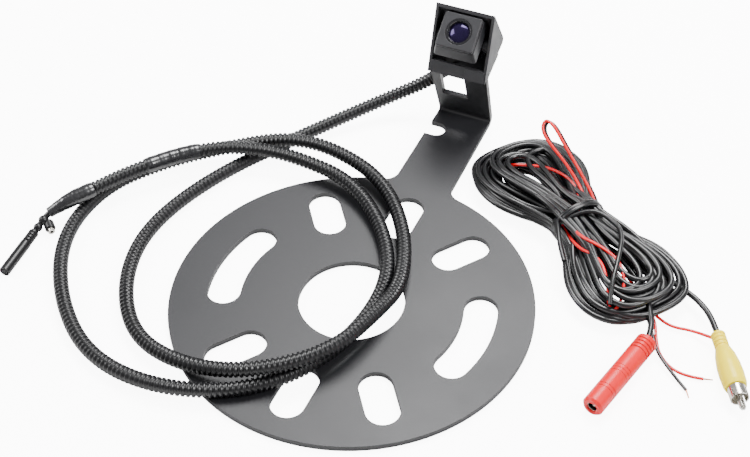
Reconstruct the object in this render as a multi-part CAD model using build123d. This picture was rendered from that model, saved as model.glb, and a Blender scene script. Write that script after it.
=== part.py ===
from build123d import *
import math
import os

# Backup camera kit: a spare-wheel bracket that carries a hooded camera, the camera's
# lead in corrugated loom, and a separate hanked extension lead with its plugs.
# Millimetres. Origin: centre of the bracket's bore on the face that meets the wheel.
# +Z is out of that face, +Y runs along the bracket's neck to the camera.

# ---- driving dimensions -------------------------------------------------------------
SHEET = 3.0                 # bracket steel
DISC_R = 90.0
BORE_R = 26.25
SLOT_CIRCLE_R = 63.5        # middle of every slot: a 127 mm lug circle
SLOT_W = 16.5
SLOT_LEN = 31.5
ARC_SLOT_SWEEP = 36.0       # degrees along the middle of a curved slot
NECK_LEFT = -15.6           # the neck and tab sit a little off the bore's centre line
NECK_RIGHT = 15.8
BEND_LEFT = -15.7           # the neck's edges at its bend
BEND_RIGHT = 14.6
TAB_LEFT = -16.8            # the tab's edges at its top
TAB_RIGHT = 15.4
NECK_FILLET = 8.0
NOTCH_R = 5.5
NOTCH_X = -11.0
NOTCH_Y = 137.0
BEND_IN_R = 1.5
BEND_OUT_R = BEND_IN_R + SHEET
BEND_Y = 153.0              # centre of the neck's bend
TAB_LEAN = 20.0             # degrees that the tab leans back over the disc
TAB_LEN = 35.5              # straight face between the tab's two bends
FLANGE_LEN = 14.5
WINDOW_LEFT = -11.8
WINDOW_RIGHT = 2.4
WINDOW_START = 15.0         # up the tab's face
WINDOW_FLANGE = 10.8        # how far the window runs on into the flange

HOOD_X = -0.6               # middle of the hood and camera
HOOD_W = 32.8
HOOD_WALL = 1.6
HOOD_FRONT = (137.7, 41.5)  # y, z of the front opening's lower edge
HOOD_TOP = (148.7, 78.9)    # y, z of the front opening's upper edge
HOOD_BASE_LEN = 30.8
LIP_H = 7.0
LIP_T = 2.2

CAM_PIVOT = (147.9, 59.3)   # y, z of the tilt axis
CAM_FACE = 14.0             # tilt axis to the camera's front face
CASE_W = 21.0               # camera's front face
CASE_H = 19.4
CASE_FLARE_W = 24.0         # front case where it meets the rear case
CASE_FLARE_DROP = 3.0       # how far its chin reaches below the face there
REAR_W = 19.0
REAR_R = 8.8                # the case's back is a half round about the tilt axis
CASE_WALL = 1.3
SEAM = 6.0                  # tilt axis to the joint between the two case halves
PIN_R = 1.5
RUNNING = 0.05              # radial clearance of the tilt pins

LOOM_D = 7.5
LEAD_D = 3.2
CABLE_D = 3.0
WIRE_D = 1.6
TAPE_T = 0.45

BOOT_R = 5.85
SOCKET_R = 5.25
SOCKET_LEN = 50.5

PARTS = {}


def sided(y, z, y_dir, z_dir, distance):
    """A point some distance from (y, z) along a direction in the side view."""
    return (y + y_dir * distance, z + z_dir * distance)


def side_extrude(points, width):
    """A prism across X from an outline drawn in the side view, as (y, z) points."""
    return extrude(Plane.YZ * make_face(Polyline(*points, close=True)), width / 2, both=True)


def turn_radii(points):
    """The largest tangent arcs that the runs of a cord's route leave room for."""
    radii = []
    for before, at, after in zip(points, points[1:], points[2:]):
        run_in = Vector(*at) - Vector(*before)
        run_out = Vector(*after) - Vector(*at)
        half_turn = math.radians(run_in.get_angle(run_out)) / 2
        radii.append(0.45 * min(run_in.length, run_out.length) / math.tan(half_turn))
    return radii


def cord(name, points, diameter, inner=0.0):
    """A tube along straight runs joined by tangent arcs."""
    radii = turn_radii(points)
    path = FilletPolyline(*points, radius=radii)
    section = Plane(origin=path @ 0, z_dir=path % 0) * Circle(diameter / 2)
    area = math.pi * diameter ** 2 / 4
    if inner:
        section = section - Plane(origin=path @ 0, z_dir=path % 0) * Circle(inner / 2)
        area -= math.pi * inner ** 2 / 4
    tube = sweep(section, path=path)
    expected = area * path.length
    print(name, "length", round(path.length, 1), "volume ratio", round(tube.volume / expected, 4))
    print("   radii", [round(radius, 1) for radius in radii])
    return tube


def middle(first, second, share=0.5):
    """A point part of the way from one route point to the next."""
    return tuple(a + (b - a) * share for a, b in zip(first, second))


def turned(points, z_start=0.0):
    """A solid of revolution about Z from (radius, height) points."""
    outline = [(radius, height + z_start) for radius, height in points]
    return revolve(Plane.XZ * make_face(Polyline(*outline, close=True)), Axis.Z)


def along(start, end):
    """A plane at start whose Z points at end."""
    return Plane(origin=start, z_dir=Vector(*end) - Vector(*start))


# ---- bracket ------------------------------------------------------------------------
lean_sin = math.sin(math.radians(TAB_LEAN))
lean_cos = math.cos(math.radians(TAB_LEAN))
# In the side view: up the tab, and from the tab's face to its back.
UP = (-lean_sin, lean_cos)
BACK = (lean_cos, lean_sin)


def bracket_plan():
    plan = Circle(DISC_R)
    neck_start = DISC_R - 20
    neck = make_face(Polyline(
        (NECK_LEFT, neck_start), (NECK_RIGHT, neck_start), (BEND_RIGHT, BEND_Y), (BEND_LEFT, BEND_Y), close=True,
    ))
    plan = plan + neck
    corners = [v for v in plan.vertices() if neck_start + 5 < v.Y < DISC_R + 2 and 10 < abs(v.X) < 20]
    plan = fillet(corners, NECK_FILLET)
    plan -= Circle(BORE_R)
    for angle in (90, 90 + 36, 90 - 36, 90 + 144, 90 - 144, 270):
        spot = Rot(0, 0, angle) * Pos(SLOT_CIRCLE_R, 0)
        plan -= spot * SlotOverall(SLOT_LEN, SLOT_W)
    for angle in (0, 180):
        middle_line = CenterArc((0, 0), SLOT_CIRCLE_R, angle - ARC_SLOT_SWEEP / 2, ARC_SLOT_SWEEP)
        plan -= SlotArc(middle_line, SLOT_W)
    plan -= Pos(NOTCH_X, NOTCH_Y) * Circle(NOTCH_R)
    mouth = NOTCH_X - BEND_LEFT + 2
    plan -= Pos(NOTCH_X - mouth / 2, NOTCH_Y) * Rectangle(mouth, 2 * NOTCH_R)
    return plan


def bent_tab():
    """The neck's bend, the tab and the flange that the hood stands on."""
    centre = (BEND_Y, BEND_OUT_R)
    sweep_end = math.radians(TAB_LEAN)
    mid = (sweep_end - math.pi / 2) / 2

    def rim(radius, angle):
        return sided(*centre, math.cos(angle), math.sin(angle), radius)

    face = rim(BEND_IN_R, sweep_end)
    back = rim(BEND_OUT_R, sweep_end)
    face_top = sided(*face, *UP, TAB_LEN)
    back_top = sided(*back, *UP, TAB_LEN)
    centre_two = sided(*face_top, *BACK, BEND_OUT_R)
    half = math.sqrt(0.5)
    knee = (UP[0] * half - BACK[0] * half, UP[1] * half - BACK[1] * half)
    crown = sided(*centre_two, *UP, BEND_OUT_R)
    under = sided(*centre_two, *UP, BEND_IN_R)
    outline = [
        Line(rim(BEND_OUT_R, -math.pi / 2), rim(BEND_IN_R, -math.pi / 2)),
        ThreePointArc(rim(BEND_IN_R, -math.pi / 2), rim(BEND_IN_R, mid), face),
        Line(face, face_top),
        ThreePointArc(face_top, sided(*centre_two, *knee, BEND_OUT_R), crown),
        Line(crown, sided(*crown, *BACK, FLANGE_LEN)),
        Line(sided(*crown, *BACK, FLANGE_LEN), sided(*under, *BACK, FLANGE_LEN)),
        Line(sided(*under, *BACK, FLANGE_LEN), under),
        ThreePointArc(under, sided(*centre_two, *knee, BEND_IN_R), back_top),
        Line(back_top, back),
        ThreePointArc(back, rim(BEND_OUT_R, mid), rim(BEND_OUT_R, -math.pi / 2)),
    ]
    bent = extrude(Plane.YZ * make_face(outline), 30, both=True)
    tab_top = crown[1] + 1
    front = make_face(Polyline(
        (BEND_LEFT, -1), (BEND_RIGHT, -1), (TAB_RIGHT, tab_top - 8), (TAB_RIGHT, tab_top + 6),
        (TAB_LEFT, tab_top + 6), (TAB_LEFT, tab_top - 8), close=True,
    ))
    bent = bent & extrude(Plane.XZ * front, 200, both=True)

    # The window runs up the tab, over the bend and into the flange.
    low = sided(*face, *UP, WINDOW_START)
    low_front = sided(*low, *BACK, -3)
    low_back = sided(*low, *BACK, SHEET + WINDOW_FLANGE)
    rise = TAB_LEN - WINDOW_START + BEND_OUT_R + 3
    window = side_extrude(
        [low_front, low_back, sided(*low_back, *UP, rise), sided(*low_front, *UP, rise)],
        WINDOW_RIGHT - WINDOW_LEFT,
    )
    return bent - Pos((WINDOW_LEFT + WINDOW_RIGHT) / 2, 0, 0) * window


# ---- hood ---------------------------------------------------------------------------
frame_len = math.hypot(HOOD_TOP[0] - HOOD_FRONT[0], HOOD_TOP[1] - HOOD_FRONT[1])
FRAME_UP = ((HOOD_TOP[0] - HOOD_FRONT[0]) / frame_len, (HOOD_TOP[1] - HOOD_FRONT[1]) / frame_len)
FRAME_IN = (FRAME_UP[1], -FRAME_UP[0])
HOOD_BACK = sided(*HOOD_FRONT, *BACK, HOOD_BASE_LEN)
SCREW_AT = 19.8             # along the hood's base, past the flange's window
SCREW_X = 9.0
SCREW_R = 1.25
SCREW_CLEAR = 0.2
LEAD_HOLE_AT = 11.2
LEAD_X = -6.0               # from the hood's middle
GROMMET_HOLE_R = 4.2


def base_point(distance, height=0.0):
    """A side-view point on the hood's base, measured back from its front edge."""
    return sided(*sided(*HOOD_FRONT, *BACK, distance), *UP, height)


def base_plane(x, distance, height=0.0):
    y, z = base_point(distance, height)
    return Plane(origin=(x, y, z), x_dir=(1, 0, 0), z_dir=(0, UP[0], UP[1]))


def bracket():
    sheet = extrude(bracket_plan(), SHEET) + bent_tab()
    for side in (-1, 1):
        spot = base_plane(HOOD_X + side * SCREW_X, SCREW_AT, -SHEET / 2)
        sheet -= spot * Cylinder(SCREW_R + SCREW_CLEAR, SHEET + 0.4)
    return sheet


def meet(point_a, dir_a, point_b, dir_b):
    """Where two side-view lines cross."""
    cross = dir_a[0] * dir_b[1] - dir_a[1] * dir_b[0]
    gap = (point_b[0] - point_a[0], point_b[1] - point_a[1])
    reach = (gap[0] * dir_b[1] - gap[1] * dir_b[0]) / cross
    return sided(*point_a, *dir_a, reach)


def hood():
    shell = side_extrude([HOOD_FRONT, HOOD_BACK, HOOD_TOP], HOOD_W)
    roof_len = math.hypot(HOOD_BACK[0] - HOOD_TOP[0], HOOD_BACK[1] - HOOD_TOP[1])
    roof = ((HOOD_BACK[0] - HOOD_TOP[0]) / roof_len, (HOOD_BACK[1] - HOOD_TOP[1]) / roof_len)
    roof_in = (roof[1], -roof[0])
    roof_line = sided(*HOOD_TOP, *roof_in, HOOD_WALL)
    floor_line = sided(*HOOD_FRONT, *UP, HOOD_WALL)
    ahead = sided(*HOOD_FRONT, *FRAME_IN, -1)
    lip_line = sided(*HOOD_FRONT, *FRAME_IN, LIP_T)
    lip_top = sided(*HOOD_FRONT, *FRAME_UP, LIP_H)
    cavity = side_extrude(
        [
            sided(*lip_top, *FRAME_IN, -1),
            sided(*lip_top, *FRAME_IN, LIP_T),
            meet(lip_line, FRAME_UP, floor_line, BACK),
            meet(roof_line, roof, floor_line, BACK),
            meet(roof_line, roof, ahead, FRAME_UP),
        ],
        HOOD_W - 2 * HOOD_WALL,
    )
    rear_edges = [e for e in shell.edges() if abs(e.center().Y - HOOD_BACK[0]) < 0.01 and e.length > 20]
    shell = fillet(rear_edges, 3.0) - cavity
    # Bosses that hold the tilt pins, blind from outside.
    for side in (-1, 1):
        boss_x = side * (HOOD_W / 2 - HOOD_WALL - 1.45)
        spot = Pos(boss_x, *CAM_PIVOT) * Rot(0, 90, 0)
        shell += spot * Cylinder(3.4, 3.1)
        bore_x = side * (HOOD_W / 2 - HOOD_WALL - 1.1)
        shell -= Pos(bore_x, *CAM_PIVOT) * Rot(0, 90, 0) * Cylinder(PIN_R + RUNNING, 4.2)
    for side in (-1, 1):
        shell -= base_plane(side * SCREW_X, SCREW_AT) * Cylinder(SCREW_R + SCREW_CLEAR, 12)
    shell -= base_plane(LEAD_X, LEAD_HOLE_AT) * Cylinder(GROMMET_HOLE_R, 12)
    # A raised pad on the lip's right half.
    pad_y, pad_z = sided(*sided(*HOOD_FRONT, *FRAME_UP, LIP_H / 2), *FRAME_IN, -0.3)
    pad = Plane(origin=(10.0, pad_y, pad_z), x_dir=(1, 0, 0), z_dir=(0, -FRAME_IN[0], -FRAME_IN[1]))
    shell += pad * Box(11, LIP_H - 0.6, 0.8)
    return shell


def hood_screws():
    group = []
    for side in (-1, 1):
        spot = base_plane(HOOD_X + side * SCREW_X, SCREW_AT, -SHEET)
        screw = turned([
            (0, -2.0), (1.4, -2.0), (2.3, -1.2), (2.3, 0), (SCREW_R, 0), (SCREW_R, 7.0), (0.9, 7.4), (0, 7.4),
        ])
        recess = Pos(0, 0, -1.9) * (Box(2.4, 0.6, 1.2) + Box(0.6, 2.4, 1.2))
        group.append(spot * (screw - recess))
    return Compound(children=group)


def hood_nuts():
    group = []
    for side in (-1, 1):
        spot = base_plane(HOOD_X + side * SCREW_X, SCREW_AT, HOOD_WALL)
        nut = extrude(RegularPolygon(2.5, 6, major_radius=False), 2.0) - Cylinder(SCREW_R, 10)
        group.append(spot * nut)
    return Compound(children=group)


def cable_grommet():
    profile = [
        (LEAD_D / 2, -1.6), (4.9, -1.6), (4.9, 0), (GROMMET_HOLE_R, 0),
        (GROMMET_HOLE_R, HOOD_WALL), (4.9, HOOD_WALL), (4.3, 3.0), (LEAD_D / 2, 3.0),
    ]
    return base_plane(LEAD_X, LEAD_HOLE_AT) * turned(profile)


# ---- camera -------------------------------------------------------------------------
# Camera planes: Z is the lens axis, Y is up the camera's face, origin on the tilt axis.
LENS_AXIS = (-0.6, 0.8)
CAMERA = Plane(origin=(0, *CAM_PIVOT), x_dir=(1, 0, 0), z_dir=(0, *LENS_AXIS))
LENS_R = 5.6
RING_R = 7.3


def rear_profile(grow=0.0):
    radius = REAR_R + grow
    face = make_face([
        Line((SEAM, -radius), (SEAM, radius)),
        Line((SEAM, radius), (0, radius)),
        ThreePointArc((0, radius), (-radius, 0), (0, -radius)),
        Line((0, -radius), (SEAM, -radius)),
    ])
    return face


def camera_prism(face, width):
    """A prism across X from an outline drawn as (lens axis, up) points."""
    side = Plane(origin=(0, *CAM_PIVOT), x_dir=(0, *LENS_AXIS), z_dir=(-1, 0, 0))
    return extrude(side * face, width / 2, both=True)


def rear_case():
    case = camera_prism(rear_profile(), REAR_W)
    case -= camera_prism(rear_profile(-CASE_WALL), REAR_W - 2 * CASE_WALL)
    # Open towards the front case.
    case -= CAMERA * Pos(0, 0, SEAM) * Box(REAR_W - 2 * CASE_WALL, 2 * (REAR_R - CASE_WALL), 4)
    # The slot that the lead comes through, long enough for the whole tilt.
    for turn in (133, 120, 107, 94):
        case -= CAMERA * Pos(LEAD_X, 0, 0) * Rot(turn, 0, 0) * Pos(0, 0, REAR_R) * Box(LEAD_D + 1.6, 5.2, 6)
    case -= Pos(0, *CAM_PIVOT) * Rot(0, 90, 0) * Cylinder(PIN_R, 40)
    return case


def front_case():
    length = CAM_FACE - SEAM
    step = length - 2.2
    back = Pos(0, -CASE_FLARE_DROP / 2, SEAM) * RectangleRounded(CASE_FLARE_W, CASE_H + CASE_FLARE_DROP, 1.6)
    front = Pos(0, 0, SEAM + step) * RectangleRounded(CASE_W + 0.6, CASE_H, 1.4)
    body = loft([back, front])
    groove = Pos(0, 0, CAM_FACE - 2.2) * extrude(RectangleRounded(CASE_W - 0.6, CASE_H - 0.8, 1.0), 0.5)
    bezel = Pos(0, 0, CAM_FACE - 1.7) * extrude(RectangleRounded(CASE_W, CASE_H, 1.3), 1.7)
    bezel = chamfer(bezel.edges().group_by(Axis.Z)[-1], 0.5)
    shell = body + groove + bezel
    shell -= Pos(0, 0, SEAM) * extrude(Rectangle(REAR_W - 2 * CASE_WALL, 2 * (REAR_R - CASE_WALL)), length - 3.4)
    shell -= Pos(0, 0, CAM_FACE - 4) * Cylinder(RING_R - 0.9, 12)
    shell -= Pos(0, 0, CAM_FACE) * Cylinder(RING_R, 1.0)
    return CAMERA * shell


def case_gasket():
    outer = Rectangle(REAR_W - 2 * CASE_WALL, 2 * (REAR_R - CASE_WALL))
    inner = Rectangle(REAR_W - 2 * CASE_WALL - 2.1, 2 * (REAR_R - CASE_WALL) - 2.1)
    return CAMERA * Pos(0, 0, SEAM - 1.2) * extrude(outer - inner, 1.2)


def lens_barrel():
    profile = [
        (3.8, 3.2), (5.2, 3.2), (5.2, 8.0), (RING_R - 0.95, 8.0), (RING_R - 0.95, 12.2),
        (LENS_R, 12.2), (LENS_R, 11.0), (3.8, 11.0),
    ]
    return CAMERA * turned(profile)


def lens_glass():
    edge = [
        Line((0, 11.0), (LENS_R, 11.0)),
        Line((LENS_R, 11.0), (LENS_R, 12.2)),
        ThreePointArc((LENS_R, 12.2), (3.0, 13.141), (0.5, 13.49)),
        Line((0.5, 13.49), (0, 13.49)),
        Line((0, 13.49), (0, 11.0)),
    ]
    return CAMERA * revolve(Plane.XZ * make_face(edge), Axis.Z)


def lens_ring():
    profile = [
        (LENS_R + 0.1, 12.3), (RING_R - 0.95, 12.3), (RING_R - 0.95, 13.5), (RING_R - 0.05, 13.5),
        (RING_R - 0.05, 13.9), (LENS_R + 0.5, 13.9), (LENS_R + 0.1, 13.4),
    ]
    return CAMERA * turned(profile)


def sensor_board():
    return CAMERA * Pos(0, 0, 2.7) * Box(REAR_W - 2 * CASE_WALL, 14.0, 1.0)


def image_sensor():
    return CAMERA * Pos(0, 0, 3.4) * Box(5.4, 5.0, 0.4)


def pivot_pins():
    group = []
    for side in (-1, 1):
        spot = Pos(HOOD_X + side * 11.9, *CAM_PIVOT) * Rot(0, 90, 0)
        group.append(spot * Cylinder(PIN_R, 7.0))
    return Compound(children=group)


def pivot_washers():
    group = []
    for side in (-1, 1):
        spot = Pos(HOOD_X + side * 10.55, *CAM_PIVOT) * Rot(0, 90, 0)
        group.append(spot * (Cylinder(2.7, 2.1) - Cylinder(PIN_R, 3)))
    return Compound(children=group)


# ---- camera lead and its loom -------------------------------------------------------
LOOM_ROUTE = [
    (HOOD_X + LEAD_X, *base_point(LEAD_HOLE_AT, -1.6)), (HOOD_X + LEAD_X, *base_point(LEAD_HOLE_AT, -9.0)),
    (-13, 154, 32), (-23, 153, 21), (-46, 139, 10), (-76, 102, 4),
    (-104, 55, 4), (-118, 7, 4), (-111, -31, 4), (-88, -63, 4), (-54, -74, 8),
    (-19, -69, 14), (10, -45, 16), (19, -13, 15), (21, 15, 9), (6, 53, 7),
    (-19, 81, 9), (-51, 90, 12.5), (-78, 87, 13.5), (-108, 72, 8), (-136, 51, 4),
    (-155, 21, 4), (-155, -19, 4), (-132, -57, 4), (-99, -84, 4), (-56, -90, 7),
    (-14, -72, 7), (10, -35, 7), (15, 12, 7), (-3, 48, 7), (-33, 73, 9.5),
    (-67, 76, 12), (-88, 73, 13), (-107, 66, 13.4), (-126, 51, 13), (-143, 28, 13),
    (-152, 11, 13), (-161, -1, 11.6), (-168, -10, 7.5),
]
TAPE_ONE = 34               # route corner inside the first tape
TAPE_TWO = 36               # first route corner inside the second tape
TAIL_START = (-167.6, -9.6, 7.7)
CONNECTOR_START = (-170.5, -20.5, 2.8)
CONNECTOR_END = (-168.2, -51.5, 2.8)
CONNECTOR_R = 2.75


def tape_one():
    route = [
        middle(LOOM_ROUTE[TAPE_ONE - 1], LOOM_ROUTE[TAPE_ONE]),
        LOOM_ROUTE[TAPE_ONE],
        middle(LOOM_ROUTE[TAPE_ONE], LOOM_ROUTE[TAPE_ONE + 1]),
    ]
    return sleeve(route, TAPE_ONE)


def tape_two():
    route = [middle(LOOM_ROUTE[TAPE_TWO - 1], LOOM_ROUTE[TAPE_TWO])] + LOOM_ROUTE[TAPE_TWO:]
    return sleeve(route, TAPE_TWO)


def sleeve(route, first_corner):
    """Tape wound round the loom, along the same arcs."""
    radii = turn_radii(LOOM_ROUTE)[first_corner - 1:first_corner - 3 + len(route)]
    path = FilletPolyline(*route, radius=radii)
    start = Plane(origin=path @ 0, z_dir=path % 0)
    section = start * Circle(LOOM_D / 2 + TAPE_T) - start * Circle(LOOM_D / 2)
    return sweep(section, path=path)


def lead_beads():
    tail = lead_tail()
    first = Pos(*middle(TAIL_START, CONNECTOR_START, 0.42)) * Sphere(2.7) - tail
    second = Pos(*middle(TAIL_START, CONNECTOR_START, 0.8)) * Sphere(2.3) - tail
    return Compound(children=[first, second])


def lead_tail():
    length = (Vector(*CONNECTOR_START) - Vector(*TAIL_START)).length
    tail = along(TAIL_START, CONNECTOR_START) * Pos(0, 0, length / 2) * Cylinder(LEAD_D / 2, length + 2)
    return tail - loom


def connector_body():
    plane = along(CONNECTOR_START, CONNECTOR_END)
    length = (Vector(*CONNECTOR_END) - Vector(*CONNECTOR_START)).length
    profile = [(0, 0), (1.9, 0)]
    for rib in range(4):
        profile += [(2.1, 1.0 + 2 * rib), (2.6, 1.4 + 2 * rib), (2.6, 2.2 + 2 * rib), (2.1, 2.6 + 2 * rib)]
    profile += [(CONNECTOR_R, 9.6), (CONNECTOR_R, length), (0, length)]
    body = turned(profile)
    body -= Pos(0, 0, length - 1.0) * (Cylinder(2.1, 2.0) - Cylinder(1.5, 2.0))
    for quarter in range(4):
        body -= Rot(0, 0, 45 + 90 * quarter) * Pos(0.85, 0, length - 3) * Cylinder(0.36, 6.2)
    return plane * body - lead_tail()


def connector_contacts():
    plane = along(CONNECTOR_START, CONNECTOR_END)
    length = (Vector(*CONNECTOR_END) - Vector(*CONNECTOR_START)).length
    group = []
    for quarter in range(4):
        spot = Rot(0, 0, 45 + 90 * quarter) * Pos(0.85, 0, length - 4.2)
        group.append(plane * spot * (Cylinder(0.36, 3.6) - Pos(0, 0, 1) * Cylinder(0.2, 3)))
    return Compound(children=group)


STUB_START = (-167.2, -13.2, 4.2)
STUB_END = (-161.6, -18.2, 3.2)


def branch_stub():
    profile = [(0, 0), (2.2, 0), (2.7, 0.8), (2.7, 5.0), (2.2, 5.6), (0, 5.6)]
    return along(STUB_START, STUB_END) * turned(profile) - lead_beads() - lead_tail() - loom


def branch_contact():
    profile = [(0.9, 5.6), (1.8, 5.6), (1.8, 7.2), (0.9, 7.2)]
    return along(STUB_START, STUB_END) * turned(profile)


# ---- extension lead -----------------------------------------------------------------
HANK_AT = (86, 90, 0)
HANK_AXIS = (0.78, -0.62, 0)


def extension_hank():
    """The outer shape of the tied hank: two lobes and a waist."""
    left = Pos(-36, 0, 11.7) * scale(Sphere(10), by=(2.9, 2.5, 1.15))
    right = Pos(38, 0, 11.7) * scale(Sphere(10), by=(3.2, 2.6, 1.15))
    waist = Pos(0, 0, 9.2) * Rot(0, 90, 0) * scale(Cylinder(10, 48), by=(0.8, 1.25, 1))
    return Plane(origin=HANK_AT, x_dir=HANK_AXIS, z_dir=(0, 0, 1)) * (left + right + waist)


def hank_tie():
    """The wire tie round the waist."""
    ring = extrude(Ellipse(13.9, 9.0), 1.5, both=True)
    waist = Plane(origin=(HANK_AT[0], HANK_AT[1], 9.2), x_dir=(0.62, 0.78, 0), z_dir=HANK_AXIS)
    return waist * ring - hank


def power_loop():
    """The hairpin of red and black wire that stands out of the hank's far side."""
    foot = (84, 107, 12)
    tip = (55, 124, 34)
    length = (Vector(*tip) - Vector(*foot)).length
    return along(foot, tip) * Pos(0, 0, length / 2) * Box(8.5, 3.4, length) - hank


BOOT_START = (170.3, 46.0, 5.9)
PLUG_TIP = (192.2, 6.0, 5.9)
plug = along(BOOT_START, PLUG_TIP)


def rca_boot():
    profile = [(0, 0), (3.2, 0)]
    for rib in range(4):
        profile += [(3.5, 0.4 + 2.2 * rib), (3.5, 1.4 + 2.2 * rib), (3.0, 1.7 + 2.2 * rib), (3.0, 2.3 + 2.2 * rib)]
    profile += [(3.7, 9.5), (4.9, 14.0), (5.7, 20.0), (BOOT_R, 25.0), (5.6, 31.0), (5.0, 33.0)]
    profile += [(4.0, 33.0), (4.0, 27.0), (0, 27.0)]
    return plug * turned(profile)


def rca_shell():
    profile = [(3.55, 27.0), (4.0, 27.0), (4.0, 33.0), (4.4, 33.4), (4.4, 39.5), (3.85, 39.5), (3.85, 34.0), (3.55, 34.0)]
    shell = turned(profile)
    for quarter in range(4):
        shell -= Rot(0, 0, 45 + 90 * quarter) * Pos(4.1, 0, 37.6) * Box(1.6, 0.8, 4.4)
    return plug * shell


def rca_insulator():
    return plug * turned([(1.6, 27.0), (3.55, 27.0), (3.55, 33.6), (1.6, 33.6)])


def rca_pin():
    profile = [(0, 27.0), (1.6, 27.0), (1.6, 44.2), (1.1, 45.4), (0.5, 45.8), (0, 45.8)]
    return plug * (turned(profile) - Pos(0, 0, 42.5) * Box(0.6, 4, 8))


SOCKET_START = (140.9, 29.2, SOCKET_R)
SOCKET_TOWARD = (128.4, -21.2, SOCKET_R)
socket = along(SOCKET_START, SOCKET_TOWARD)


def socket_body():
    profile = [(0, 0), (4.3, 0), (SOCKET_R, 1.0)]
    for groove in range(4):
        start = 3.0 + 2.2 * groove
        profile += [
            (SOCKET_R, start), (SOCKET_R - 0.6, start + 0.2), (SOCKET_R - 0.6, start + 0.9), (SOCKET_R, start + 1.1),
        ]
    profile += [
        (SOCKET_R, SOCKET_LEN - 1.2), (SOCKET_R - 1.0, SOCKET_LEN), (2.75, SOCKET_LEN),
        (2.75, SOCKET_LEN - 12), (0, SOCKET_LEN - 12),
    ]
    body = turned(profile)
    for ring in (24, 26, 28, 38, 40):
        body -= Pos(0, 0, ring) * (Cylinder(SOCKET_R + 1, 0.5) - Cylinder(SOCKET_R - 0.2, 1))
    return socket * body


def socket_sleeve():
    return socket * turned([
        (2.3, SOCKET_LEN - 11.5), (2.75, SOCKET_LEN - 11.5), (2.75, SOCKET_LEN - 0.8), (2.3, SOCKET_LEN - 0.8),
    ])


def socket_pin():
    return socket * turned([(0, SOCKET_LEN - 12), (0.95, SOCKET_LEN - 12), (0.95, SOCKET_LEN - 2), (0, SOCKET_LEN - 1.4)])


VIDEO_ROUTE = [(140.0, 68.5, 9.0), (148.5, 67.5, 6.5), (157, 63.5, 5.9), (165, 55.7, 5.9), (170.3, 46.0, 5.9)]
TRIGGER_ROUTE = [(139, 49, 3.0), (148, 45.8, 1.6), (159, 47.4, 2.0), (169.8, 43.9, 4.6)]
SOCKET_LEAD_ROUTE = [(137.5, 44.5, 8.5), (140.5, 37.5, 6.2), (140.9, 29.2, SOCKET_R)]
RED_ROUTE = [
    (140, 46, 3.4), (143.4, 36.5, 1.6), (147.3, 27.5, 1.0), (155, 20.6, 1.0), (164, 19.2, 1.0), (170.6, 20.6, 1.0),
]
BLACK_ROUTE = [
    (138, 42.5, 5.0), (142.4, 34.5, 2.8), (147.0, 26.0, 2.9), (155.2, 18.4, 2.2), (161.5, 13.8, 1.0), (165, 10.9, 1.0),
]


def strand_tips():
    red = along(RED_ROUTE[-1], (174.4, 21.9, 0.7))
    black = along(BLACK_ROUTE[-1], (167.6, 6.6, 0.7))
    tip = turned([(0, 0), (0.45, 0), (0.3, 4.5), (0, 4.5)])
    return Compound(children=[red * tip - red_wire, black * tip - black_wire])


# ---- assembly -----------------------------------------------------------------------
shift = Pos(HOOD_X, 0, 0)
PARTS["mounting_bracket"] = bracket()
PARTS["camera_hood"] = shift * hood()
PARTS["hood_screws"] = hood_screws()
PARTS["hood_nuts"] = hood_nuts()
PARTS["cable_grommet"] = shift * cable_grommet()
LEAD_UP = 9.0               # how far the lead stands above the hood's base
lead_middle = base_plane(HOOD_X + LEAD_X, LEAD_HOLE_AT, (LEAD_UP - 1.6) / 2)
PARTS["camera_lead"] = lead_middle * Cylinder(LEAD_D / 2, LEAD_UP + 1.6)

PARTS["camera_front_case"] = shift * front_case()
PARTS["camera_rear_case"] = shift * rear_case()
PARTS["case_gasket"] = shift * case_gasket()
PARTS["lens_barrel"] = shift * lens_barrel()
PARTS["lens_glass"] = shift * lens_glass()
PARTS["lens_ring"] = shift * lens_ring()
PARTS["sensor_board"] = shift * sensor_board()
PARTS["image_sensor"] = shift * image_sensor()
PARTS["pivot_pins"] = pivot_pins()
PARTS["pivot_washers"] = pivot_washers()

loom = cord("loom_conduit", LOOM_ROUTE, LOOM_D)
PARTS["loom_conduit"] = loom
PARTS["tape_wrap_1"] = tape_one()
PARTS["tape_wrap_2"] = tape_two()
PARTS["lead_tail"] = lead_tail()
PARTS["lead_beads"] = lead_beads()
PARTS["connector_body"] = connector_body()
PARTS["connector_contacts"] = connector_contacts()
PARTS["branch_stub"] = branch_stub()
PARTS["branch_contact"] = branch_contact()

hank = extension_hank()
PARTS["extension_hank"] = hank
PARTS["hank_tie"] = hank_tie()
PARTS["power_loop"] = power_loop()
PARTS["video_cable"] = cord("video_cable", VIDEO_ROUTE, CABLE_D) - hank
boot = rca_boot()
PARTS["trigger_wire"] = cord("trigger_wire", TRIGGER_ROUTE, WIRE_D) - hank - boot
PARTS["rca_boot"] = boot
PARTS["rca_shell"] = rca_shell()
PARTS["rca_insulator"] = rca_insulator()
PARTS["rca_pin"] = rca_pin()
red_socket = socket_body()
PARTS["socket_lead"] = cord("socket_lead", SOCKET_LEAD_ROUTE, CABLE_D) - hank - red_socket
PARTS["socket_body"] = red_socket
PARTS["socket_sleeve"] = socket_sleeve()
PARTS["socket_pin"] = socket_pin()
red_wire = cord("power_wire_red", RED_ROUTE, WIRE_D) - hank
black_wire = cord("power_wire_black", BLACK_ROUTE, WIRE_D) - hank
PARTS["power_wire_red"] = red_wire
PARTS["power_wire_black"] = black_wire
PARTS["strand_tips"] = strand_tips()

os.makedirs("parts", exist_ok=True)
for node, shape in PARTS.items():
    shape.label = node
    export_step(shape, "parts/" + node + ".step")
print(len(PARTS), "nodes")
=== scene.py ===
import math
import random

import bpy
from mathutils import Matrix, Vector


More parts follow.
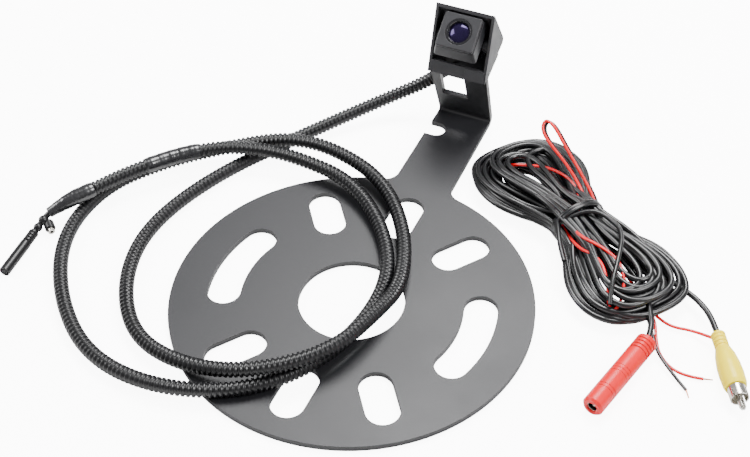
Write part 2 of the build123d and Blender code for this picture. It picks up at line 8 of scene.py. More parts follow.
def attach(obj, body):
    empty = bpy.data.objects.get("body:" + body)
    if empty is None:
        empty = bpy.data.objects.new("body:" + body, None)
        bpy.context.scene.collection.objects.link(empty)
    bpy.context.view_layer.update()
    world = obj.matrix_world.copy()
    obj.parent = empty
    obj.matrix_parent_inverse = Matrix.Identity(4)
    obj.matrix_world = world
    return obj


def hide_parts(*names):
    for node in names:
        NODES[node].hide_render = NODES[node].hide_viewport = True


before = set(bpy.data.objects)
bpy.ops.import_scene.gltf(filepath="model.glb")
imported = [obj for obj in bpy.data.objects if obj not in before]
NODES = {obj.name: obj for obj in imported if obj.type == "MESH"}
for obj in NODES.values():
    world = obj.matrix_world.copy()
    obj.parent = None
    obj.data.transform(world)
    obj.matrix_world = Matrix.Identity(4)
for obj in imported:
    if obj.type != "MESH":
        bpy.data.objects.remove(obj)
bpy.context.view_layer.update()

bl_info = {
    "name": "Backup camera kit",
    "version": (1, 0, 0),
    "blender": (4, 5, 0),
    "location": "View3D > Sidebar > Camera kit",
    "description": "Builds the looks of a spare-wheel backup camera kit around its CAD frame",
    "category": "Object",
}

MM = 0.001

# ---- routes, in millimetres in the frame of the CAD model ----------------------------
# The loom leaves the grommet under the hood and lies in two turns over the plate.
GROMMET_EXIT = (-6.6, 148.77, 43.83)
LOOM_ROUTE = [
    GROMMET_EXIT, (-6.6, 151.30, 36.87), (-13, 154, 32), (-23, 153, 21), (-46, 139, 10),
    (-76, 102, 4), (-104, 55, 4), (-118, 7, 4), (-111, -31, 4), (-88, -63, 4), (-54, -74, 8),
    (-19, -69, 14), (10, -45, 16), (19, -13, 15), (21, 15, 9), (6, 53, 7), (-19, 81, 9),
    (-51, 90, 12.5), (-78, 87, 13.5), (-108, 72, 8), (-136, 51, 4), (-155, 21, 4),
    (-155, -19, 4), (-132, -57, 4), (-99, -84, 4), (-56, -90, 7), (-14, -72, 7), (10, -35, 7),
    (15, 12, 7), (-3, 48, 7), (-33, 73, 9.5), (-67, 76, 12), (-88, 73, 13), (-107, 66, 13.4),
    (-126, 51, 13), (-143, 28, 13), (-152, 11, 13), (-161, -1, 11.6), (-168, -10, 7.5),
]
TAIL_ROUTE = [
    (-165.5, -7, 8.9), (-168, -10, 7.5), (-169.4, -14.5, 5.2), (-170.4, -19, 3.2), (-170.5, -22, 2.9),
]
PLUG_END = (170.3, 46.0, 5.9)
VIDEO_EXIT_ROUTE = [(140.0, 68.5, 9.0), (148.5, 67.5, 6.5), (157, 63.5, 5.9), (165, 55.7, 5.9), PLUG_END]
TRIGGER_ROUTE = [
    (118, 62, 9), (130, 54, 5), (139, 49, 3.0), (148, 45.8, 1.6), (159, 47.4, 2.0), (169.8, 43.9, 4.6),
]
SOCKET_LEAD_ROUTE = [
    (112, 74, 11), (124, 62, 12), (132.5, 53.5, 11), (137.5, 44.5, 8.5), (140.5, 37.5, 6.2),
    (140.9, 29.2, 5.25),
]
RED_ROUTE = [
    (118, 66, 8), (130, 56, 6), (140, 46, 3.4), (143.4, 36.5, 1.6), (147.3, 27.5, 1.0), (155, 20.6, 1.0),
    (164, 19.2, 1.0), (170.6, 20.6, 1.0),
]
BLACK_ROUTE = [
    (116, 62, 9), (128, 52, 7), (138, 42.5, 5.0), (142.4, 34.5, 2.8), (147.0, 26.0, 2.9),
    (155.2, 18.4, 2.2),
    (161.5, 13.8, 1.0), (165, 10.9, 1.0),
]

# ---- hank, in millimetres ------------------------------------------------------------
HANK_AT = Vector((86, 90, 0))
HANK_ALONG = Vector((0.78, -0.62, 0)).normalized()
HANK_ACROSS = Vector((0.62, 0.78, 0)).normalized()
WAIST_COLUMNS = 4
WAIST_SPACING = 3.1
WAIST_ROW = 2.55
LOWEST = 1.6
TIE_RADIUS = 13.9
TIE_HEIGHT = 11.5
TIE_RISE = 10.1
TIE_DIAMETER = 2.4

# ---- loom details, in millimetres ----------------------------------------------------
GROOVE_DEPTH = 0.75
LEAD_RADIUS = 1.6
TAPE_LAP = 5.5
TAPE_STEP = 0.55
SQUEEZE_START = 14
SQUEEZE_RUN = 15.5
SQUEEZE = 0.42
TAPES = ((87, 57), (26, -1.5))


# ---- settings ------------------------------------------------------------------------
class KitSizes(bpy.types.PropertyGroup):
    """Sizes that a user may want to change."""
    loom_diameter: bpy.props.FloatProperty(
        name="Loom diameter", description="Outside diameter over the loom's ridges",
        default=7.5 * MM, unit="LENGTH")
    loom_pitch: bpy.props.FloatProperty(
        name="Ridge pitch", description="Distance from one ridge of the loom to the next",
        default=2.5 * MM, unit="LENGTH")
    cable_diameter: bpy.props.FloatProperty(
        name="Cable diameter", description="Outside diameter of the video cable",
        default=3.0 * MM, unit="LENGTH")
    wire_diameter: bpy.props.FloatProperty(
        name="Wire diameter", description="Outside diameter of a single power wire",
        default=1.6 * MM, unit="LENGTH")
    tape_thickness: bpy.props.FloatProperty(
        name="Tape build-up", description="How far the wound tape stands off the loom",
        default=0.45 * MM, unit="LENGTH")
    hank_turns: bpy.props.IntProperty(
        name="Hank turns", description="Turns of video cable in the tied hank", default=28)


class KitColours(bpy.types.PropertyGroup):
    """Colours as sRGB hex values."""
    plate: bpy.props.StringProperty(
        name="Plate", description="Powder coat on the plate", default="#1F1F22")
    hood: bpy.props.StringProperty(
        name="Hood", description="Moulded plastic of the hood", default="#2C2C2F")
    case: bpy.props.StringProperty(
        name="Camera case", description="Moulded plastic of the camera", default="#222225")
    loom: bpy.props.StringProperty(
        name="Loom", description="Polypropylene of the loom", default="#0C0C0E")
    cable: bpy.props.StringProperty(
        name="Cable", description="PVC of the black cables", default="#0E0E10")
    red: bpy.props.StringProperty(
        name="Red", description="PVC of the red wires and socket", default="#E60012")
    yellow: bpy.props.StringProperty(
        name="Yellow", description="PVC of the video plug", default="#FFE600")
    floor: bpy.props.StringProperty(
        name="Floor", description="Opal sweep under the kit", default="#F6F6F6")


# ---- small helpers -------------------------------------------------------------------
def linear(hex_colour, alpha=1.0):
    """An sRGB hex colour as linear RGBA."""
    channels = [int(hex_colour[i:i + 2], 16) / 255 for i in (1, 3, 5)]
    return [c / 12.92 if c <= 0.04045 else ((c + 0.055) / 1.055) ** 2.4 for c in channels] + [alpha]


def add_node(tree, kind, settings=(), links=()):
    """Adds a shader node, sets its sockets or attributes by name and links its inputs."""
    node = tree.nodes.new(kind)
    for name, value in dict(settings).items():
        if name in node.inputs:
            node.inputs[name].default_value = value
        else:
            setattr(node, name, value)
    for name, source in dict(links).items():
        tree.links.new(source, node.inputs[name])
    return node


def principled(name, hex_colour, **sockets):
    """A material with one Principled shader, whose constant values sit on its sockets."""
    material = bpy.data.materials.new(name)
    material.use_nodes = True
    shader = material.node_tree.nodes["Principled BSDF"]
    shader.inputs["Base Color"].default_value = linear(hex_colour)
    for socket, value in sockets.items():
        shader.inputs[socket.replace("_", " ")].default_value = value
    return material


def surface_grain(material, size_mm, height_mm, edge_mm=0.0, detail=3.0):
    """Moulding or coating grain as bump, with worn-soft edges where edge_mm is given."""
    tree = material.node_tree
    shader = tree.nodes["Principled BSDF"]
    place = add_node(tree, "ShaderNodeTexCoord")
    noise = add_node(tree, "ShaderNodeTexNoise", {"Scale": 1000 / size_mm, "Detail": detail},
                     {"Vector": place.outputs["Object"]})
    links = {"Height": noise.outputs["Fac"]}
    if edge_mm:
        edge = add_node(tree, "ShaderNodeBevel", {"Radius": edge_mm * MM, "samples": 6})
        links["Normal"] = edge.outputs["Normal"]
    bump = add_node(tree, "ShaderNodeBump", {"Strength": 1.0, "Distance": height_mm * MM}, links)
    tree.links.new(bump.outputs["Normal"], shader.inputs["Normal"])


def uneven(material, size_mm, roughness_low, roughness_high, hex_a, hex_b):
    """Handling marks: roughness and colour that drift over the surface."""
    tree = material.node_tree
    shader = tree.nodes["Principled BSDF"]
    place = add_node(tree, "ShaderNodeTexCoord")
    noise = add_node(tree, "ShaderNodeTexNoise", {"Scale": 1000 / size_mm, "Detail": 5.0, "Roughness": 0.6},
                     {"Vector": place.outputs["Object"]})
    spread = add_node(tree, "ShaderNodeMapRange", {
        "From Min": 0.3, "From Max": 0.7, "To Min": roughness_low, "To Max": roughness_high,
    }, {"Value": noise.outputs["Fac"]})
    tree.links.new(spread.outputs["Result"], shader.inputs["Roughness"])
    blend = add_node(tree, "ShaderNodeMix", {"data_type": "RGBA"}, {"Factor": noise.outputs["Fac"]})
    blend.inputs[6].default_value = linear(hex_a)
    blend.inputs[7].default_value = linear(hex_b)
    tree.links.new(blend.outputs[2], shader.inputs["Base Color"])


def shade(hex_colour, factor):
    """The same hue, darker or lighter."""
    channels = [min(255, round(int(hex_colour[i:i + 2], 16) * factor)) for i in (1, 3, 5)]
    return "#{:02X}{:02X}{:02X}".format(*channels)


# ---- materials -----------------------------------------------------------------------
def powder_coated_steel(colours):
    # Baked polyester powder: even satin sheen with a very fine orange peel, softened edges.
    material = principled("powder_coated_steel", colours.plate, IOR=1.5)
    uneven(material, 60, 0.42, 0.5, shade(colours.plate, 0.94), shade(colours.plate, 1.06))
    surface_grain(material, 0.9, 0.012, edge_mm=0.35)
    return material


def spark_textured_abs(colours):
    # Injection-moulded ABS from a spark-eroded mould: matt, fine even grain.
    material = principled("spark_textured_abs", colours.hood, IOR=1.53)
    uneven(material, 14, 0.5, 0.62, shade(colours.hood, 0.92), shade(colours.hood, 1.08))
    surface_grain(material, 0.35, 0.02, edge_mm=0.5)
    return material


def satin_abs(colours):
    # Satin moulded ABS of the camera case: a softer grain that picks up broad highlights.
    material = principled("satin_abs", colours.case, IOR=1.53)
    uneven(material, 9, 0.36, 0.46, shade(colours.case, 0.9), shade(colours.case, 1.1))
    surface_grain(material, 0.3, 0.008, edge_mm=0.25)
    return material


def extruded_polypropylene(colours):
    # Corrugated polypropylene: waxy, half-gloss ridges with faint dust in the grooves.
    material = principled("extruded_polypropylene", colours.loom, IOR=1.49)
    uneven(material, 30, 0.26, 0.4, shade(colours.loom, 0.85), shade(colours.loom, 1.25))
    surface_grain(material, 0.6, 0.01)
    return material


def extruded_pvc(name, hex_colour):
    # Plasticised PVC jacket: smooth and glossy, with slight waviness from the die.
    material = principled(name, hex_colour, IOR=1.53)
    uneven(material, 22, 0.24, 0.36, shade(hex_colour, 0.93), shade(hex_colour, 1.07))
    surface_grain(material, 2.4, 0.02, detail=1.0)
    return material


def moulded_pvc(name, hex_colour):
    # Overmoulded PVC plug body: gloss with a trace of sink and soft edges.
    material = principled(name, hex_colour, IOR=1.53, Specular_IOR_Level=0.35)
    uneven(material, 12, 0.3, 0.4, shade(hex_colour, 0.95), hex_colour)
    surface_grain(material, 1.6, 0.015, edge_mm=0.2, detail=1.0)
    return material


def vinyl_tape():
    # Stretched PVC insulating tape: gloss with crosswise stretch wrinkles.
    material = principled("vinyl_tape", "#17171A", IOR=1.53, Coat_Weight=0.4, Coat_Roughness=0.12)
    uneven(material, 8, 0.2, 0.38, "#121214", "#232326")
    surface_grain(material, 1.8, 0.05, detail=2.0)
    return material


def nickel_plate():
    # Bright nickel over turned brass: warm grey metal with fine turning lines.
    material = principled("nickel_plate", "#D8D4CC", Metallic=1.0)
    uneven(material, 3, 0.14, 0.28, "#C9C5BC", "#E2DED6")
    surface_grain(material, 0.25, 0.004, edge_mm=0.1)
    return material


def zinc_plated_steel():
    # Passivated zinc on small screws: slightly blue and uneven.
    material = principled("zinc_plated_steel", "#A9ADB2", Metallic=1.0)
    uneven(material, 2, 0.25, 0.42, "#989CA2", "#B7BBBF")
    surface_grain(material, 0.3, 0.006, edge_mm=0.1)
    return material


def bare_copper():
    # Bare copper strands: warm metal, dulled a little by handling.
    material = principled("bare_copper", "#C77B52", Metallic=1.0)
    uneven(material, 1.5, 0.28, 0.45, "#B56A44", "#D28A62")
    surface_grain(material, 0.3, 0.02)
    return material


def turned_brass():
    # Turned brass contacts: yellow metal with fine lines.
    material = principled("turned_brass", "#C9A55C", Metallic=1.0)
    uneven(material, 1.5, 0.2, 0.32, "#BC9750", "#D3B06A")
    surface_grain(material, 0.2, 0.004)
    return material


def coated_glass():
    # Lens glass with a violet anti-reflection coating over a dark barrel. The glass is opaque, so its
    # near-black base colour takes the barrel's black; the violet tint in that base colour and its drift is
    # painted reflection of the coating.
    material = principled("coated_glass", "#0C0818", IOR=1.5, Specular_Tint=(0.55, 0.42, 1.0, 1.0))
    # violet drift in the base colour: painted reflection of the coating
    uneven(material, 5, 0.08, 0.16, "#08060F", "#17102C")
    surface_grain(material, 6.0, 0.002, detail=0.0)
    return material


def gloss_black_abs():
    # Polished ABS of the lens ring.
    material = principled("gloss_black_abs", "#131315", IOR=1.53)
    uneven(material, 4, 0.16, 0.26, "#101012", "#1A1A1D")
    surface_grain(material, 0.5, 0.003, edge_mm=0.15)
    return material


def nitrile_rubber():
    # Moulded nitrile: matt black with a dusty bloom.
    material = principled("nitrile_rubber", "#1B1B1C", IOR=1.52)
    uneven(material, 4, 0.6, 0.8, "#161617", "#2A2A2A")
    surface_grain(material, 0.4, 0.02)
    return material


def solder_mask():
    # Green solder mask on a fibreglass board.
    material = principled("solder_mask", "#17502F", IOR=1.5)
    uneven(material, 3, 0.2, 0.35, "#134528", "#1F6038")
    surface_grain(material, 0.5, 0.006)
    return material


def acetal():
    # White moulded acetal insulator.
    material = principled("acetal", "#ECE9E0", IOR=1.48)
    uneven(material, 5, 0.3, 0.42, "#E6E2D8", "#F2EFE8")
    surface_grain(material, 0.8, 0.006)
    return material


def black_acetal():
    # Black moulded acetal tilt washers.
    material = principled("black_acetal", "#1C1C1E", IOR=1.48)
    uneven(material, 4, 0.35, 0.5, "#18181A", "#242426")
    surface_grain(material, 0.8, 0.006)
    return material


def opal_acrylic(colours):
    # Opal acrylic sweep lit from underneath: matt, and white where the lens looks at it.
    material = principled("opal_acrylic", colours.floor, IOR=1.45, Specular_IOR_Level=0.1, Roughness=0.9,
                          Emission_Color=(1, 1, 1, 1))
    surface_grain(material, 1.5, 0.01)
    tree = material.node_tree
    seen = add_node(tree, "ShaderNodeLightPath")
    glow = add_node(tree, "ShaderNodeMapRange", {"To Max": GLOW}, {"Value": seen.outputs["Is Camera Ray"]})
    tree.links.new(glow.outputs["Result"], tree.nodes["Principled BSDF"].inputs["Emission Strength"])
    return material


def finish(obj, material):
    """Gives a new piece its one material."""
    obj.data.materials.clear()
    obj.data.materials.append(material)


def finish_nodes(material, *names):
    """Gives CAD nodes that stay as they are their material, in every slot."""
    for name in names:
        node = NODES[name]
        if not node.material_slots:
            node.data.materials.append(material)
        for material_slot in node.material_slots:
            material_slot.material = material


# ---- cords ---------------------------------------------------------------------------
def place_in_scene(name, data):
    obj = bpy.data.objects.new(name, data)
    bpy.context.scene.collection.objects.link(obj)
    return obj


def cord_curve(name, route, diameter, resolution=10):
    """A smooth cord: a NURBS spline whose control points are the route, in millimetres."""
    data = bpy.data.curves.new(name, "CURVE")
    data.dimensions = "3D"
    data.bevel_depth = diameter / 2
    data.bevel_resolution = 4
    data.resolution_u = resolution
    data.use_fill_caps = diameter > 0
    spline = data.splines.new("NURBS")
    spline.points.add(len(route) - 1)
    for point, position in zip(spline.points, route):
        point.co = (*(Vector(position) * MM), 1)
    spline.order_u = 3
    spline.use_endpoint_u = True
    return place_in_scene(name, data)


def centreline(route):
    """Points read from the route's own NURBS spline, in metres."""
    guide = cord_curve("guide", route, 0, resolution=24)
    mesh = bpy.data.meshes.new_from_object(guide)
    points = [vertex.co.copy() for vertex in mesh.vertices]
    bpy.data.meshes.remove(mesh)
    bpy.data.curves.remove(guide.data)
    return points


class Line:
    """Places and directions by distance along a list of points."""

    def __init__(self, points):
        self.points = points
        self.reach = [0.0]
        for before, after in zip(points, points[1:]):
            self.reach.append(self.reach[-1] + (after - before).length)
        self.length = self.reach[-1]

    def at(self, distance):
        distance = min(max(distance, 0.0), self.length)
        low, high = 0, len(self.reach) - 1
        while high - low > 1:
            middle = (low + high) // 2
            if self.reach[middle] <= distance:
                low = middle
            else:
                high = middle
        share = (distance - self.reach[low]) / max(self.reach[high] - self.reach[low], 1e-12)
        return self.points[low].lerp(self.points[high], share)

    def heading(self, distance, step=0.0006):
        return (self.at(distance + step) - self.at(distance - step)).normalized()


def tube_mesh(name, line, stations, sides):
    """A capped tube along a line through (distance, radius) stations."""
    vertices, faces = [], []
    side_way = line.heading(stations[0][0]).orthogonal().normalized()
    for number, (distance, radius) in enumerate(stations):
        heading = line.heading(distance)
        side_way = (side_way - heading * side_way.dot(heading)).normalized()
        other_way = heading.cross(side_way)
        centre = line.at(distance)
        for k in range(sides):
            angle = 2 * math.pi * k / sides
            vertices.append(centre + (side_way * math.cos(angle) + other_way * math.sin(angle)) * radius)
        if number:
            start = (number - 1) * sides
            for k in range(sides):
                after = (k + 1) % sides
                faces.append((start + k, start + after, start + sides + after, start + sides + k))
    faces.append(tuple(reversed(range(sides))))
    faces.append(tuple(range(len(vertices) - sides, len(vertices))))
    mesh = bpy.data.meshes.new(name)
    mesh.from_pydata(vertices, [], faces)
    mesh.polygons.foreach_set("use_smooth", [True] * len(mesh.polygons))
    mesh.update()
    return place_in_scene(name, mesh)


def lay_piece(obj, body, slot, material, *stands_for):
    """Puts a new piece on its CAD body, with its finish and the nodes that it stands for."""
    finish(obj, material)
    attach(obj, body)
    if stands_for:
        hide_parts(*stands_for)
    return obj


# ---- stage ---------------------------------------------------------------------------
CAMERA_AT = Vector((208.39, -433.34, 515.25)) * MM
CAMERA_AZIMUTH = 24.27
CAMERA_ELEVATION = 43.98
CAMERA_ROLL = -0.67
LENS_MM = 68.6
FLOOR_HALF = 4.0
FLOOR_GAP = 0.3
GLOW = 9.0


class KIT_OT_stage(bpy.types.Operator):
    """Camera, opal floor and soft lights"""
    bl_idname = "kit.stage"
    bl_label = "Stage"

    def execute(self, context):
        azimuth, elevation = math.radians(CAMERA_AZIMUTH), math.radians(CAMERA_ELEVATION)
        look = Vector((-math.sin(azimuth) * math.cos(elevation),
                       math.cos(azimuth) * math.cos(elevation), -math.sin(elevation)))
        data = bpy.data.cameras.new("view_camera")
        data.lens = LENS_MM
        data.sensor_width = 36
        data.clip_start = 0.01
        camera = place_in_scene("view_camera", data)
        turn = look.to_track_quat("-Z", "Y").to_matrix().to_4x4()
        camera.matrix_world = (Matrix.Translation(CAMERA_AT) @ turn
                               @ Matrix.Rotation(math.radians(CAMERA_ROLL), 4, "Z"))
        context.scene.camera = camera

        floor_mesh = bpy.data.meshes.new("opal_floor")
        half = FLOOR_HALF
        floor_mesh.from_pydata([(-half, -half, 0), (half, -half, 0), (half, half, 0), (-half, half, 0)],
                               [], [(0, 1, 2, 3)])
        floor = place_in_scene("opal_floor", floor_mesh)
        floor.location.z = -FLOOR_GAP * MM
        finish(floor, opal_acrylic(context.scene.kit_colours))

        world = bpy.data.worlds.new("studio")
        world.use_nodes = True
        world.node_tree.nodes["Background"].inputs["Color"].default_value = (1, 1, 1, 1)
        world.node_tree.nodes["Background"].inputs["Strength"].default_value = 0.5
        context.scene.world = world
        for name, place, size, power in (
            ("overhead_softbox", (-0.02, 0.5, 0.95), 0.5, 22.0),
            ("left_softbox", (-1.0, -0.2, 0.8), 0.5, 12.0),
            ("right_softbox", (0.9, 0.0, 0.9), 0.4, 14.0),
        ):
            light = bpy.data.lights.new(name, "AREA")
            light.size = size
            light.energy = power
            lamp = place_in_scene(name, light)
            lamp.location = place
            lamp.rotation_euler = (Vector((0, 0.03, 0)) - Vector(place)).to_track_quat("-Z", "Y").to_euler()
        return {"FINISHED"}


# ---- camera lead ---------------------------------------------------------------------
class KIT_OT_camera_lead(bpy.types.Operator):
    """Corrugated loom, its tapes and the connector on its end"""
    bl_idname = "kit.camera_lead"
    bl_label = "Camera lead"

    def execute(self, context):
        sizes, colours = context.scene.kit_sizes, context.scene.kit_colours
        points = centreline(LOOM_ROUTE)
        line = Line(points)
        high = sizes.loom_diameter / 2
        low = high - GROOVE_DEPTH * MM
        pitch = sizes.loom_pitch
        stations = []
        for ridge in range(int(line.length / pitch)):
            start = ridge * pitch
            squeeze = self.squeeze(line, start)
            stations += [(start, low * squeeze), (start + 0.3 * pitch, low * squeeze),
                         (start + 0.45 * pitch, high * squeeze), (start + 0.85 * pitch, high * squeeze)]
        stations.append((line.length, low * self.squeeze(line, line.length)))
        loom = tube_mesh("loom", line, stations, sides=20)
        lay_piece(loom, "bracket", "loom_plastic", extruded_polypropylene(colours), "loom_conduit")

        tape = vinyl_tape()
        for number, (from_end, to_end) in enumerate(TAPES, 1):
            wrap = self.wound_tape(f"tape_{number}", line, line.length - from_end * MM,
                                   line.length - to_end * MM, high, sizes.tape_thickness)
            lay_piece(wrap, "bracket", "tape", tape, f"tape_wrap_{number}")

        cable_pvc = extruded_pvc("black_cable_pvc", colours.cable)
        tail_line = Line(centreline(TAIL_ROUTE))
        steps = 24
        tail_stations = [(tail_line.length * k / steps, LEAD_RADIUS * MM) for k in range(steps + 1)]
        tail = tube_mesh("lead_end_cable", tail_line, tail_stations, sides=20)
        lay_piece(tail, "bracket", "cable_pvc", cable_pvc, "lead_tail")
        moulded = moulded_pvc("moulded_black_pvc", colours.cable)
        finish_nodes(moulded, "lead_beads", "connector_body", "branch_stub")
        finish_nodes(turned_brass(), "connector_contacts")
        finish_nodes(nickel_plate(), "branch_contact")
        finish_nodes(cable_pvc, "camera_lead")
        finish_nodes(nitrile_rubber(), "cable_grommet")
        return {"FINISHED"}

    def squeeze(self, line, distance):
        """How far the last tape pulls the slit end of the loom together."""
        return 1 - SQUEEZE * max(0.0, distance - line.length + SQUEEZE_START * MM) / (SQUEEZE_RUN * MM)

    def wound_tape(self, name, line, start, end, radius, build_up):
        """Half-lapped tape: a step at the edge of every turn, and slight wrinkles."""
        stations = []
        count = int((end - start) / (TAPE_STEP * MM))
        draw = random.Random(3)
        for k in range(count + 1):
            distance = start + (end - start) * k / count
            through = ((distance - start) / (TAPE_LAP * MM)) % 1.0
            grow = build_up * (0.55 + 0.45 * through) + draw.uniform(-0.05, 0.05) * MM
            edge = min(k, count - k) / 3
            grow *= min(1.0, 0.35 + 0.65 * edge)
            stations.append((distance, radius * self.squeeze(line, distance) + grow))
        return tube_mesh(name, line, stations, sides=28)


# ---- extension lead ------------------------------------------------------------------
def hank_point(along, across, height):
    return HANK_AT + HANK_ALONG * along + HANK_ACROSS * across + Vector((0, 0, height))


class KIT_OT_hank(bpy.types.Operator):
    """Tied hank of video cable with its tie and power pair"""
    bl_idname = "kit.hank"
    bl_label = "Hank"

    def execute(self, context):
        sizes, colours = context.scene.kit_sizes, context.scene.kit_colours
        cable_pvc = extruded_pvc("black_hank_pvc", colours.cable)
        red_pvc = extruded_pvc("red_wire_pvc", colours.red)
        route = self.turns(sizes.hank_turns) + VIDEO_EXIT_ROUTE
        video = cord_curve("video_cable_hank", route, sizes.cable_diameter)
        lay_piece(video, "extension_lead", "hank_cable", cable_pvc, "extension_hank", "video_cable")
        video_line = Line(centreline(route))

        tie = self.tie()
        lay_piece(tie, "extension_lead", "cable_pvc", cable_pvc, "hank_tie")
        sockets = [NODES[n] for n in ("socket_body", "socket_sleeve", "socket_pin")]
        for name, cord_route, diameter, material, slot, nodes, far, others in (
            ("trigger_lead", TRIGGER_ROUTE, sizes.wire_diameter, red_pvc, "signal_red", ["trigger_wire"],
             "object", []),
            ("power_lead_red", RED_ROUTE, sizes.wire_diameter, red_pvc, "signal_red", ["power_wire_red"],
             "bare", [NODES["strand_tips"]]),
            ("power_lead_black", BLACK_ROUTE, sizes.wire_diameter, cable_pvc, "cable_pvc",
             ["power_wire_black"], "bare", []),
            ("socket_cable", SOCKET_LEAD_ROUTE, sizes.cable_diameter, cable_pvc, "cable_pvc",
             ["socket_lead"], "connector", sockets),
        ):
            cord = cord_curve(name, cord_route, diameter)
            lay_piece(cord, "extension_lead", slot, material, *nodes)
            Line(centreline(cord_route)).length
        self.power_pair(sizes, cable_pvc, red_pvc)
        return {"FINISHED"}

    def turns(self, count):
        """Turns pinched at the waist, from wide outer ones to narrow teardrops, leaning both ways."""
        draw = random.Random(11)
        route = []
        order = list(range(count))
        draw.shuffle(order)
        for turn, place in enumerate(order):
            column, row = turn % WAIST_COLUMNS, turn // WAIST_COLUMNS
            waist_across = 1.6 + WAIST_SPACING * column + draw.uniform(-0.3, 0.3)
            waist_height = 2.2 + WAIST_ROW * row + draw.uniform(-0.3, 0.3)
            inner = place / (count - 1)
            for side, reach, width in (
                (1, 70 - 14 * inner, 29 - 20.5 * inner),
                (-1, 71 - 19 * inner, 30 - 21.5 * inner),
            ):
                reach += draw.uniform(-3, 3)
                lean = draw.uniform(-1, 1) * (2 + 8 * inner)
                lobe = 2.8 + 15 * turn / (count - 1) * (0.55 + 0.45 * inner) + draw.uniform(-0.8, 0.8)
                neck = 0.68 - 0.36 * inner
                belly = 1.0 - 0.42 * inner
                for share, spread, height in (
                    (0.0, None, waist_height), (0.26, neck, lobe + 1), (0.52, belly, lobe + 1.5),
                    (0.8, 0.95, lobe),
                    (0.99, 0.6, lobe - 1), (1.0, -0.5, lobe - 1), (0.82, -0.95, lobe),
                    (0.55, -belly, lobe + 1),
                    (0.28, -neck, lobe + 1),
                ):
                    across = side * waist_across if spread is None else side * spread * width + share * lean
                    route.append(hank_point(side * share * reach, across, max(height, LOWEST)))
        route.append(hank_point(0, 8, 17.5))
        route.append(hank_point(30, 18, 15))
        return route

    def tie(self):
        """A plastic-coated tie wound twice round the waist, with one long end lying on the turns."""
        ring = [hank_point(25, -25, 15), hank_point(16, -22, 16)]
        for step in range(29):
            angle = 2 * math.pi * step / 14 + 2.6
            slip = 3.4 * step / 28 - 1.7
            height = TIE_HEIGHT + TIE_RISE * math.sin(angle)
            ring.append(hank_point(slip, TIE_RADIUS * math.cos(angle), height))
        ring += [
            hank_point(5, 3, 21.5), hank_point(17, 8.5, 21.5), hank_point(28, 7, 22),
            hank_point(41, -4.6, 21.5), hank_point(52, -16, 18), hank_point(59, -21, 14),
        ]
        return cord_curve("hank_tie_wire", ring, TIE_DIAMETER * MM)

    def power_pair(self, sizes, cable_pvc, red_pvc):
        """The power pair's few turns in the hank, and its hairpin standing out of one side."""
        red_turn = [
            hank_point(-58, -12, 8), hank_point(-46, -3, 14), hank_point(-33, 6, 17.5),
            hank_point(-18, 10, 17.5),
            hank_point(-4, 4, 14), hank_point(6, -8, 15), hank_point(16, -10.5, 18), hank_point(30, -5, 19),
            hank_point(42, -3, 18), hank_point(54, -9, 15), hank_point(61, -18, 9), hank_point(57, -20, 9),
            hank_point(46, -14, 16.5), hank_point(33, -10, 18), hank_point(17, -14, 13),
            hank_point(0, -9, 11),
        ]
        hairpin = [
            (96, 92, 12), (92, 103, 12), (82, 111, 20), (68, 119, 31), (59, 126, 37), (53.5, 128, 38),
            (53, 124, 34), (59, 120, 29.5), (70.5, 114.5, 24), (83, 106, 16.5), (91, 95, 13),
        ]
        shift = Vector((1.2, 1.2, -1.4))
        for name, route, material, slot, nodes in (
            ("power_pair_red", red_turn, red_pvc, "signal_red", []),
            ("hairpin_red", hairpin, red_pvc, "signal_red", ["power_loop"]),
            ("hairpin_black", [Vector(p) + shift for p in hairpin], cable_pvc, "cable_pvc", []),
        ):
            cord = cord_curve(name, route, sizes.wire_diameter)
            lay_piece(cord, "extension_lead", slot, material, *nodes)
            Line(centreline(route)).length


class KIT_OT_plugs(bpy.types.Operator):
    """Finishes of the video plug, power socket and bare ends"""
    bl_idname = "kit.plugs"
    bl_label = "Plugs"

    def execute(self, context):
        colours = context.scene.kit_colours
        nickel = nickel_plate()
        finish_nodes(moulded_pvc("yellow_plug_pvc", colours.yellow), "rca_boot")
        finish_nodes(moulded_pvc("red_socket_pvc", colours.red), "socket_body")
        finish_nodes(nickel, "rca_shell", "rca_pin", "socket_sleeve", "socket_pin")
        finish_nodes(acetal(), "rca_insulator")
        finish_nodes(bare_copper(), "strand_tips")
        return {"FINISHED"}


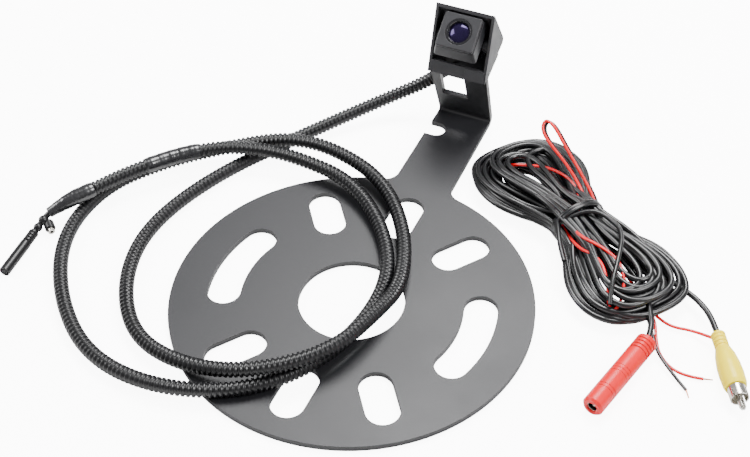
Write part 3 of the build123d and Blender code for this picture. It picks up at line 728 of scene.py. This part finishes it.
# ---- plate and camera ----------------------------------------------------------------
class KIT_OT_plate(bpy.types.Operator):
    """Finish of the plate and its fixings"""
    bl_idname = "kit.plate"
    bl_label = "Plate"

    def execute(self, context):
        colours = context.scene.kit_colours
        finish_nodes(powder_coated_steel(colours), "mounting_bracket")
        finish_nodes(zinc_plated_steel(), "hood_screws", "hood_nuts")
        return {"FINISHED"}


class KIT_OT_camera(bpy.types.Operator):
    """Finishes of the hood and the tilting camera"""
    bl_idname = "kit.camera"
    bl_label = "Camera"

    def execute(self, context):
        colours = context.scene.kit_colours
        finish_nodes(spark_textured_abs(colours), "camera_hood")
        finish_nodes(satin_abs(colours), "camera_front_case", "camera_rear_case")
        finish_nodes(gloss_black_abs(), "lens_barrel", "lens_ring", "image_sensor")
        finish_nodes(coated_glass(), "lens_glass")
        finish_nodes(nitrile_rubber(), "case_gasket")
        finish_nodes(solder_mask(), "sensor_board")
        finish_nodes(zinc_plated_steel(), "pivot_pins")
        finish_nodes(black_acetal(), "pivot_washers")
        return {"FINISHED"}


STEPS = (KIT_OT_stage, KIT_OT_camera_lead, KIT_OT_hank, KIT_OT_plugs, KIT_OT_plate, KIT_OT_camera)


class KIT_PT_panel(bpy.types.Panel):
    bl_idname = "KIT_PT_panel"
    bl_label = "Backup camera kit"
    bl_space_type = "VIEW_3D"
    bl_region_type = "UI"
    bl_category = "Camera kit"

    def draw(self, context):
        for step in STEPS:
            self.layout.operator(step.bl_idname)
        for settings in (context.scene.kit_sizes, context.scene.kit_colours):
            for name in settings.bl_rna.properties.keys():
                if name not in ("rna_type", "name"):
                    self.layout.prop(settings, name)


CLASSES = (KitSizes, KitColours, *STEPS, KIT_PT_panel)


def register():
    for cls in CLASSES:
        bpy.utils.register_class(cls)
    bpy.types.Scene.kit_sizes = bpy.props.PointerProperty(type=KitSizes)
    bpy.types.Scene.kit_colours = bpy.props.PointerProperty(type=KitColours)


def unregister():
    del bpy.types.Scene.kit_colours
    del bpy.types.Scene.kit_sizes
    for cls in reversed(CLASSES):
        bpy.utils.unregister_class(cls)


def main():
    register()
    bpy.ops.kit.stage()
    bpy.ops.kit.camera_lead()
    bpy.ops.kit.hank()
    bpy.ops.kit.plugs()
    bpy.ops.kit.plate()
    bpy.ops.kit.camera()


if __name__ == "__main__":
    main()
